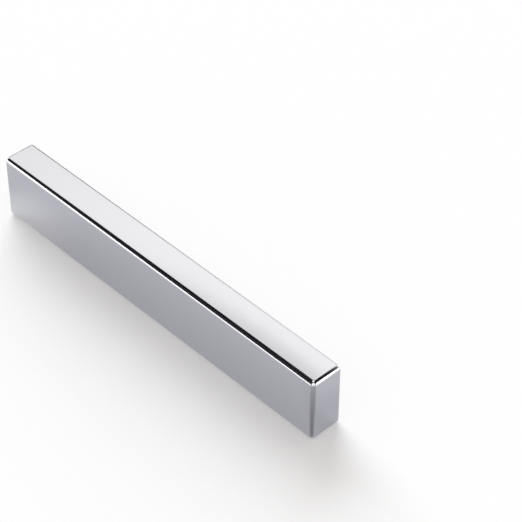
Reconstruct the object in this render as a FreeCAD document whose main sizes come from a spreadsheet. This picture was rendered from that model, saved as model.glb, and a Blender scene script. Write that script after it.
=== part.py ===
import FreeCAD, Part
import Sketcher
import os

# A block magnet: one sintered rare-earth bar with a bright nickel skin.
# It stands on a long narrow side. X runs along its length, Y goes through it from one
# pole face to the other, and Z is up. The origin is the middle of the side it stands on.
# Sizes are in millimetres.

NODE = "block_magnet"
PARTS_FOLDER = "parts"
# A sketch's own origin: its number in the sketch, then which point of it
ORIGIN_POINT = (-1, 1)

# Driving sizes: name, value, what it measures
SIZES = (
    ("bar_length", 60.0, "from end to end"),
    ("bar_thickness", 5.0, "from pole face to pole face, the way the bar is magnetised"),
    ("bar_height", 10.0, "from the side it stands on to its top"),
    ("edge_radius", 0.65, "the rounding of every edge and corner, left by tumbling"),
)


def fill_size_sheet(doc):
    """The sheet of driving sizes that the features read."""
    sheet = doc.addObject("Spreadsheet::Sheet", "sizes")
    for row, (name, value, meaning) in enumerate(SIZES, start=1):
        sheet.set(f"A{row}", name)
        sheet.set(f"B{row}", str(value))
        sheet.set(f"C{row}", meaning)
        sheet.setAlias(f"B{row}", name)
    doc.recompute()
    return sheet


def base_plane(body):
    """The body's own level plane through its origin."""
    return next(plane for plane in body.Origin.OriginFeatures if plane.Role == "XY_Plane")


def draw_footprint(body, sheet):
    """The bar seen from above: a rectangle centred on the origin."""
    sketch = body.newObject("Sketcher::SketchObject", "footprint")
    sketch.AttachmentSupport = [(base_plane(body), "")]
    sketch.MapMode = "FlatFace"
    half_length = sheet.bar_length / 2
    half_thickness = sheet.bar_thickness / 2
    signs = ((-1, -1), (1, -1), (1, 1), (-1, 1))
    corners = [FreeCAD.Vector(x * half_length, y * half_thickness, 0) for x, y in signs]
    for side in range(4):
        sketch.addGeometry(Part.LineSegment(corners[side], corners[(side + 1) % 4]), False)
    for side in range(4):
        sketch.addConstraint(Sketcher.Constraint("Coincident", side, 2, (side + 1) % 4, 1))
    for side, direction in enumerate(("Horizontal", "Vertical", "Horizontal", "Vertical")):
        sketch.addConstraint(Sketcher.Constraint(direction, side))
    sketch.addConstraint(Sketcher.Constraint("Symmetric", 0, 1, 1, 2, *ORIGIN_POINT))
    for side, kind, name in ((0, "DistanceX", "bar_length"), (1, "DistanceY", "bar_thickness")):
        measure = Sketcher.Constraint(kind, side, 1, side, 2, getattr(sheet, name))
        sketch.renameConstraint(sketch.addConstraint(measure), name)
        sketch.setExpression(f"Constraints.{name}", f"sizes.{name}")
    return sketch


def make_bar(doc, sheet):
    """The pressed and sintered block, ground square and then tumbled."""
    body = doc.addObject("PartDesign::Body", "bar")
    body.Label = NODE
    footprint = draw_footprint(body, sheet)

    block = body.newObject("PartDesign::Pad", "block")
    block.Profile = footprint
    block.setExpression("Length", "sizes.bar_height")
    doc.recompute()

    rounding = body.newObject("PartDesign::Fillet", "tumbled_edges")
    rounding.Base = (block, [""])
    rounding.UseAllEdges = True
    rounding.setExpression("Radius", "sizes.edge_radius")
    body.Tip = rounding
    return body


def check(doc, body):
    """Stops before anything is written if a feature failed or the solid isn't sound."""
    doc.recompute()
    for item in doc.Objects:
        if "Invalid" in item.State or "Error" in item.State:
            raise RuntimeError(f"{item.Name} failed: {item.State}")
    if body.Shape.isNull() or not body.Shape.isValid():
        raise RuntimeError(f"{body.Label} has no valid shape")
    if len(body.Shape.Solids) != 1:
        raise RuntimeError(f"{body.Label} isn't one solid")


doc = FreeCAD.newDocument(NODE)
size_sheet = fill_size_sheet(doc)
bar = make_bar(doc, size_sheet)
check(doc, bar)
os.makedirs(PARTS_FOLDER, exist_ok=True)
bar.Shape.exportStep(f"{PARTS_FOLDER}/{bar.Label}.step")
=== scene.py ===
import math
import bmesh
import bpy
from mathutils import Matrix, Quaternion, Vector


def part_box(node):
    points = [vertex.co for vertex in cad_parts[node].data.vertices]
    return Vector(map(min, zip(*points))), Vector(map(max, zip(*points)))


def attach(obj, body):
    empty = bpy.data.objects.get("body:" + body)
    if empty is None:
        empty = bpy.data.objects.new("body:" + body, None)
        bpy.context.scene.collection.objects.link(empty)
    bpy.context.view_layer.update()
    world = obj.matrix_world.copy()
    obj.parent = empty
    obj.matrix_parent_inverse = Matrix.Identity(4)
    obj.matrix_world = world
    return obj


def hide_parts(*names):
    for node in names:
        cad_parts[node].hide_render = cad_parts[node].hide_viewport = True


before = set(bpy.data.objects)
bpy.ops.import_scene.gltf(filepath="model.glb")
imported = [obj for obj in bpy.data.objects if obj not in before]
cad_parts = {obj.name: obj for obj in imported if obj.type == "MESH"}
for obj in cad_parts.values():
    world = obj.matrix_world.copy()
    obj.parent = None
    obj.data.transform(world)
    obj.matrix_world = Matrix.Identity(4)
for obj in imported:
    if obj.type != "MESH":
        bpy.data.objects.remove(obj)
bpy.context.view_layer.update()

# The bar
# One block of rare-earth alloy, pressed, sintered and ground square, then tumbled until
# every edge is round and plated all over with bright nickel. It stands on a long narrow side.
EDGE_RADIUS = 0.00065
EDGE_STEPS = 12
NICKEL_COLOUR = (0.72, 0.725, 0.745, 1.0)
NICKEL_ROUGHNESS = 0.11
# The plating's slow ripple and fine grain: how many to a metre, and how far each spreads
# the roughness
RIPPLE_SCALE = 260.0
RIPPLE_ROUGHNESS = 0.03
GRAIN_SCALE = 5200.0
GRAIN_ROUGHNESS = 0.04
# The faint swell that tumbling leaves: how many to a metre, and its height
SWELL_SCALE = 620.0
SWELL_HEIGHT = 4e-6


class Wire:
    """An output in a node tree: arithmetic on it adds Math nodes, node() adds any other."""

    def __init__(self, tree, socket=None):
        self.tree = tree
        self.socket = socket

    def node(self, kind, settings=None, inputs=None, output=0):
        """A new node of that kind: its settings first, then the values or links of its sockets."""
        made = self.tree.nodes.new(kind)
        for name, setting in (settings or {}).items():
            setattr(made, name, setting)
        for name, source in (inputs or {}).items():
            if isinstance(source, Wire):
                self.tree.links.new(source.socket, made.inputs[name])
            else:
                made.inputs[name].default_value = source
        return Wire(self.tree, made.outputs[output] if made.outputs else None)

    def maths(self, operation, first, second):
        """A Math node on two values or wires."""
        return self.node("ShaderNodeMath", {"operation": operation}, {0: first, 1: second})

    def __add__(self, other):
        return self.maths("ADD", self, other)

    def __sub__(self, other):
        return self.maths("SUBTRACT", self, other)

    def __rsub__(self, other):
        return self.maths("SUBTRACT", other, self)

    def __mul__(self, other):
        return self.maths("MULTIPLY", self, other)

    __radd__ = __add__
    __rmul__ = __mul__


def block_mesh(low, high, radius, steps):
    """A block between two corners, with every edge and corner rounded."""
    shape = bmesh.new()
    bmesh.ops.create_cube(shape, size=1.0)
    bmesh.ops.scale(shape, vec=high - low, verts=shape.verts)
    bmesh.ops.translate(shape, vec=(low + high) / 2, verts=shape.verts)
    bmesh.ops.bevel(
        shape,
        geom=shape.edges,
        offset=radius,
        affect="EDGES",
        segments=steps,
        profile=0.5,
        material=-1,
    )
    bmesh.ops.recalc_face_normals(shape, faces=shape.faces)
    for face in shape.faces:
        face.smooth = True
    mesh = bpy.data.meshes.new("nickel_bar")
    shape.to_mesh(mesh)
    shape.free()
    return mesh


def bright_nickel():
    """Tumbled bright nickel: a clear mirror with a fine grain and a slow ripple."""
    material = bpy.data.materials.new("bright_nickel")
    material.use_nodes = True
    tree = material.node_tree
    tree.nodes.clear()
    start = Wire(tree)
    place = start.node("ShaderNodeTexCoord", output="Object")
    ripple, swell, grain = (
        start.node("ShaderNodeTexNoise", {}, {"Vector": place, "Scale": scale, "Detail": detail})
        for scale, detail in ((RIPPLE_SCALE, 1.0), (SWELL_SCALE, 1.0), (GRAIN_SCALE, 2.0))
    )
    roughness = NICKEL_ROUGHNESS + GRAIN_ROUGHNESS * (grain - 0.5) + RIPPLE_ROUGHNESS * (ripple - 0.5)
    surface = {
        "Base Color": NICKEL_COLOUR,
        "Metallic": 1.0,
        "Roughness": roughness,
        "Normal": start.node("ShaderNodeBump", {}, {"Distance": SWELL_HEIGHT, "Height": swell}),
    }
    shine = start.node("ShaderNodeBsdfPrincipled", {}, surface)
    start.node("ShaderNodeOutputMaterial", {}, {"Surface": shine})
    return material


bar_low, bar_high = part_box("block_magnet")
bar = bpy.data.objects.new("nickel_bar", block_mesh(bar_low, bar_high, EDGE_RADIUS, EDGE_STEPS))
bpy.context.scene.collection.objects.link(bar)
bar.data.materials.append(bright_nickel())
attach(bar, "root")
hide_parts("block_magnet")

# The bench
# A pale sweep of matt card under the bar, much wider than it. It takes the bar's soft shadow.
# The metal alone sees painted light on it: a cool painted shade close by and a painted white
# highlight further out. A glow is a little light of the card's own, even for the eye and painted
# for the metal. Lengths are in metres.
BENCH_REACH = 1.5
BENCH_COLOUR = (0.80, 0.793, 0.788, 1.0)
BENCH_GLOW = (0.20, 0.20, 0.20, 1.0)
NO_LIGHT = (0.0, 0.0, 0.0, 1.0)
# The painted shade that the metal sees close round the bar, and the distances from the bar over which
# it ends
PAINTED_SHADE_COLOUR = (0.30, 0.302, 0.32, 1.0)
PAINTED_SHADE_GLOW = (0.327, 0.324, 0.350, 1.0)
PAINTED_SHADE_RIM = (0.0105, 0.0165)
# The painted white highlight that the metal sees further out, and the distances from the bar over
# which it starts
PAINTED_HIGHLIGHT_GLOW = (1.10, 1.10, 1.10, 1.0)
PAINTED_HIGHLIGHT_RIM = (0.028, 0.045)
# In front of the bar's near corner the painted shade goes on: its share, its azimuth, and the angles
# to either side at which it is gone and at which it is full
NEAR_CORNER = (bar_high.x, bar_low.y, 0.0)
FRONT_PAINTED_SHADE = 0.85
FRONT_AZIMUTH = 312.0
FRONT_HALF_ANGLES = (68.0, 50.0)
# Along the foot of the bar's far end the painted shade is lighter, a painted light: where that
# starts, from the bar's middle, and how far out from the bar it goes
FAR_END_PAINTED_LIGHT = (0.495, 0.492, 0.490, 1.0)
FAR_END_AZIMUTH = 180.0
FAR_END_START = (0.016, 0.031)
FAR_END_REACH = (0.0, 0.0070)
# Past the near end a band of the painted shade is darker: where it starts and stops, from the corner
NEAR_END_PAINTED_SHADE = (0.24, 0.238, 0.26, 1.0)
NEAR_END_AZIMUTH = 45.0
NEAR_END_START = (0.002, 0.005)
NEAR_END_STOP = (0.006, 0.0115)
# In front of the near corner's foot a patch is shaded, softly towards its sides and outwards
CORNER_SHADE = 0.50
CORNER_AZIMUTH = 300.0
CORNER_HALF_ANGLES = (86.0, 20.0)
CORNER_REACH = (0.0, 0.022)


def smooth_step(value, low, high):
    """0 below low, 1 above high and a soft change between them."""
    limits = {"Value": value, "From Min": low, "From Max": high}
    return value.node("ShaderNodeMapRange", {"interpolation_type": "SMOOTHSTEP"}, limits)


def vector_maths(operation, *sources, output=0):
    """A Vector Math node on one or two vectors, the first of them a wire."""
    node_inputs = dict(enumerate(sources))
    return sources[0].node("ShaderNodeVectorMath", {"operation": operation}, node_inputs, output)


def mixed_colour(share, first, second):
    """The first colour where the share is 0 and the second where it is 1."""
    # A Mix node has its colours at inputs 6 and 7 and at output 2
    return share.node("ShaderNodeMix", {"data_type": "RGBA"}, {0: share, 6: first, 7: second}, 2)


def direction(azimuth, elevation):
    """The unit vector at an azimuth from +X towards +Y and an elevation, in degrees."""
    turn, rise = math.radians(azimuth), math.radians(elevation)
    return Vector((math.cos(rise) * math.cos(turn), math.cos(rise) * math.sin(turn), math.sin(rise)))


def length_towards(vector, azimuth, elevation=0.0):
    """How far a vector reaches in a direction."""
    return vector_maths("DOT_PRODUCT", vector, direction(azimuth, elevation), output="Value")


def bar_distance(place):
    """How far a place on the bench lies from the bar's foot."""
    half_foot = ((bar_high.x - bar_low.x) / 2, (bar_high.y - bar_low.y) / 2, 0.0)
    beyond = vector_maths("SUBTRACT", vector_maths("ABSOLUTE", place), half_foot)
    return vector_maths("LENGTH", vector_maths("MAXIMUM", beyond, (0.0, 0.0, 0.0)), output="Value")


def sector(from_corner, azimuth, half_angles):
    """1 in a sector of the bench that opens from the bar's near corner, 0 outside it."""
    ahead = length_towards(vector_maths("NORMALIZE", from_corner), azimuth)
    return smooth_step(ahead, *(math.cos(math.radians(angle)) for angle in half_angles))


def painted_reflection_on_card(place):
    """The painted shade and painted highlight that the metal sees at a place on the bench, as a
    colour and a glow.
    """
    distance = bar_distance(place)
    from_corner = vector_maths("SUBTRACT", place, NEAR_CORNER)
    # Painted shade that the metal sees round the bar and ahead of the near corner
    close_shade = 1.0 - smooth_step(distance, *PAINTED_SHADE_RIM)
    front_shade = FRONT_PAINTED_SHADE * sector(from_corner, FRONT_AZIMUTH, FRONT_HALF_ANGLES)
    painted_shade = close_shade.maths("MAXIMUM", close_shade, front_shade)

    # Painted light along the far end's foot
    far_end_light = smooth_step(length_towards(place, FAR_END_AZIMUTH), *FAR_END_START)
    far_end_light = far_end_light * (1.0 - smooth_step(distance, *FAR_END_REACH))
    # Painted shade in a band past the near end
    past_corner = length_towards(from_corner, NEAR_END_AZIMUTH)
    near_end_shade = smooth_step(past_corner, *NEAR_END_START)
    near_end_shade = near_end_shade * (1.0 - smooth_step(past_corner, *NEAR_END_STOP))
    shade_glow = mixed_colour(far_end_light, PAINTED_SHADE_GLOW, FAR_END_PAINTED_LIGHT)
    shade_glow = mixed_colour(near_end_shade, shade_glow, NEAR_END_PAINTED_SHADE)

    # Painted white highlight that the metal sees further out
    highlight_glow = mixed_colour(smooth_step(distance, *PAINTED_HIGHLIGHT_RIM), BENCH_GLOW, PAINTED_HIGHLIGHT_GLOW)
    colour = mixed_colour(painted_shade, BENCH_COLOUR, PAINTED_SHADE_COLOUR)
    glow = mixed_colour(painted_shade, highlight_glow, shade_glow)

    corner_distance = vector_maths("LENGTH", from_corner, output="Value")
    shade = CORNER_SHADE * sector(from_corner, CORNER_AZIMUTH, CORNER_HALF_ANGLES)
    shade = shade * (1.0 - smooth_step(corner_distance, *CORNER_REACH))
    return mixed_colour(shade, colour, NO_LIGHT), mixed_colour(shade, glow, NO_LIGHT)


def matt_card_with_painted_reflection():
    """Even pale card for the eye; for the metal, painted shade near the bar and a painted white
    highlight further out.
    """
    material = bpy.data.materials.new("matt_card_with_painted_reflection")
    material.use_nodes = True
    tree = material.node_tree
    tree.nodes.clear()
    start = Wire(tree)
    place = start.node("ShaderNodeTexCoord", output="Object")
    eye = start.node("ShaderNodeLightPath", output="Is Camera Ray")
    metal = start.node("ShaderNodeLightPath", output="Is Glossy Ray")
    through = start.node("ShaderNodeLightPath", output="Is Transmission Ray")
    painted_metal_colour, painted_metal_glow = painted_reflection_on_card(place)
    eye_glow = mixed_colour(eye + through, NO_LIGHT, BENCH_GLOW)
    surface = {
        # For the metal the card takes its painted shade and painted highlight
        "Base Color": mixed_colour(metal, BENCH_COLOUR, painted_metal_colour),
        "Roughness": 1.0,
        "Specular IOR Level": 0.0,
        "Emission Color": mixed_colour(metal, eye_glow, painted_metal_glow),
        "Emission Strength": 1.0,
    }
    card = start.node("ShaderNodeBsdfPrincipled", {}, surface)
    start.node("ShaderNodeOutputMaterial", {}, {"Surface": card})
    return material


sheet = bmesh.new()
bmesh.ops.create_grid(sheet, x_segments=1, y_segments=1, size=BENCH_REACH)
bench_mesh = bpy.data.meshes.new("bench")
sheet.to_mesh(bench_mesh)
sheet.free()
bench = bpy.data.objects.new("bench", bench_mesh)
bpy.context.scene.collection.objects.link(bench)
bench.data.materials.append(matt_card_with_painted_reflection())

# The light
# A white tent round the bench. The metal shows its soft lamps and its dark front, which give
# the bar's edges their white and black lines. A broad low lamp behind throws the shadow forwards.
WHITE = (1.0, 1.0, 1.0, 1.0)
WALL = (1.07, 1.06, 1.058, 1.0)
DARK = (0.005, 0.005, 0.009, 1.0)
# The soft light that the tent throws on the bench
TENT_LIGHT = 0.6
TENT_COLOUR = (1.0, 0.975, 0.965)
# Round patches of the tent, each painted over those before it: azimuth, elevation, half angle
# and soft edge in degrees, then the colour of its light
TENT_PATCHES = (
    # Behind: grey low down, then the lamp and the shade that the bar's top shows
    (143.0, -2.0, 28.0, 8.0, (0.28, 0.28, 0.28, 1.0)),
    (132.0, 44.0, 9.0, 7.0, (1.2, 1.19, 1.186, 1.0)),
    (140.0, 52.0, 4.5, 4.5, (0.85, 0.84, 0.84, 1.0)),
    # To the left: the lamp that makes the white line along the long upper edge
    (231.0, 0.0, 14.0, 2.0, (2.8, 2.77, 2.76, 1.0)),
    # The dark front that makes the black lines, its end to the right, its lighter places
    (301.0, 48.0, 71.4, 2.0, DARK),
    (43.0, 27.0, 9.0, 3.0, DARK),
    (101.0, 63.0, 4.0, 2.0, WALL),
    (230.0, 36.0, 14.0, 12.0, (0.015, 0.015, 0.019, 1.0)),
    (238.0, 28.0, 8.0, 6.0, (0.04, 0.04, 0.045, 1.0)),
    (312.0, -5.0, 62.0, 5.0, (0.26, 0.257, 0.257, 1.0)),
    # To the right: the lamp that makes the white line along the short upper edge
    (24.0, 6.0, 17.0, 1.0, (2.2, 2.18, 2.17, 1.0)),
    # Overhead and in front: the lamps that make the bright points on the corners
    (300.0, 86.0, 24.0, 5.0, (0.55, 0.545, 0.543, 1.0)),
    (236.0, 84.0, 18.0, 2.0, (1.3, 1.29, 1.28, 1.0)),
    (313.0, 18.0, 27.0, 5.0, (2.1, 2.08, 2.08, 1.0)),
    # The dim middle of the last of them, which the bar's top shows from behind
    (315.0, 12.0, 11.5, 4.0, (0.42, 0.415, 0.415, 1.0)),
)
# The broad lamp, which throws the shadow and isn't shown by the metal
KEY_AZIMUTH = 150.0
KEY_ELEVATION = 27.0
KEY_SPREAD = math.radians(50.0)
KEY_STRENGTH = 3.11
KEY_COLOUR = (0.89, 0.93, 0.955)


def paint(tent, towards, patch):
    """The tent's light with a round patch of it painted over."""
    azimuth, elevation, half_angle, edge, colour = patch
    rim = math.cos(math.radians(half_angle + edge))
    core = math.cos(math.radians(half_angle - edge))
    share = smooth_step(length_towards(towards, azimuth, elevation), rim, core)
    return mixed_colour(share, tent, colour)


def light_tent():
    """White for the eye, an even soft light on the bench, and the painted tent for the metal."""
    world = bpy.data.worlds.new("light_tent")
    world.use_nodes = True
    tree = world.node_tree
    tree.nodes.clear()
    start = Wire(tree)
    towards = start.node("ShaderNodeTexCoord", output="Generated")
    metal_light = WALL
    for patch in TENT_PATCHES:
        metal_light = paint(metal_light, towards, patch)
    eye = start.node("ShaderNodeLightPath", output="Is Camera Ray")
    metal = start.node("ShaderNodeLightPath", output="Is Glossy Ray")
    through = start.node("ShaderNodeLightPath", output="Is Transmission Ray")
    soft_light = (*(TENT_LIGHT * level for level in TENT_COLOUR), 1.0)
    light = mixed_colour(metal, mixed_colour(eye + through, soft_light, WHITE), metal_light)
    sky = start.node("ShaderNodeBackground", {}, {"Color": light, "Strength": 1.0})
    start.node("ShaderNodeOutputWorld", {}, {"Surface": sky})
    return world


bpy.context.scene.world = light_tent()

key_data = bpy.data.lights.new("key_lamp", "SUN")
key_data.angle = KEY_SPREAD
key_data.energy = KEY_STRENGTH
key_data.color = KEY_COLOUR
key = bpy.data.objects.new("key_lamp", key_data)
key.rotation_euler = direction(KEY_AZIMUTH, KEY_ELEVATION).to_track_quat("Z", "Y").to_euler()
key.visible_glossy = False
bpy.context.scene.collection.objects.link(key)

# The camera
# It looks down on the bar's near end from the front right, through a long lens. The lens and
# the square frame are given in pixels.
CAMERA_PLACE = Vector((0.149456, -0.125851, 0.184222))
CAMERA_AIM = Vector((0.001440, 0.016025, 0.0))
CAMERA_ROLL = math.radians(-0.202)
FRAME_PIXELS = 522
FOCAL_PIXELS = 2026.2
SENSOR_MM = 36.0

camera_data = bpy.data.cameras.new("camera")
camera_data.sensor_width = SENSOR_MM
camera_data.lens = FOCAL_PIXELS / FRAME_PIXELS * SENSOR_MM
camera_data.clip_start = 0.01
camera_data.clip_end = 10.0
camera = bpy.data.objects.new("camera", camera_data)
camera.location = CAMERA_PLACE
level = (CAMERA_AIM - CAMERA_PLACE).to_track_quat("-Z", "Y")
camera.rotation_euler = (level @ Quaternion((0.0, 0.0, 1.0), -CAMERA_ROLL)).to_euler()
bpy.context.scene.collection.objects.link(camera)
bpy.context.scene.camera = camera
bpy.context.scene.view_settings.view_transform = "Standard"
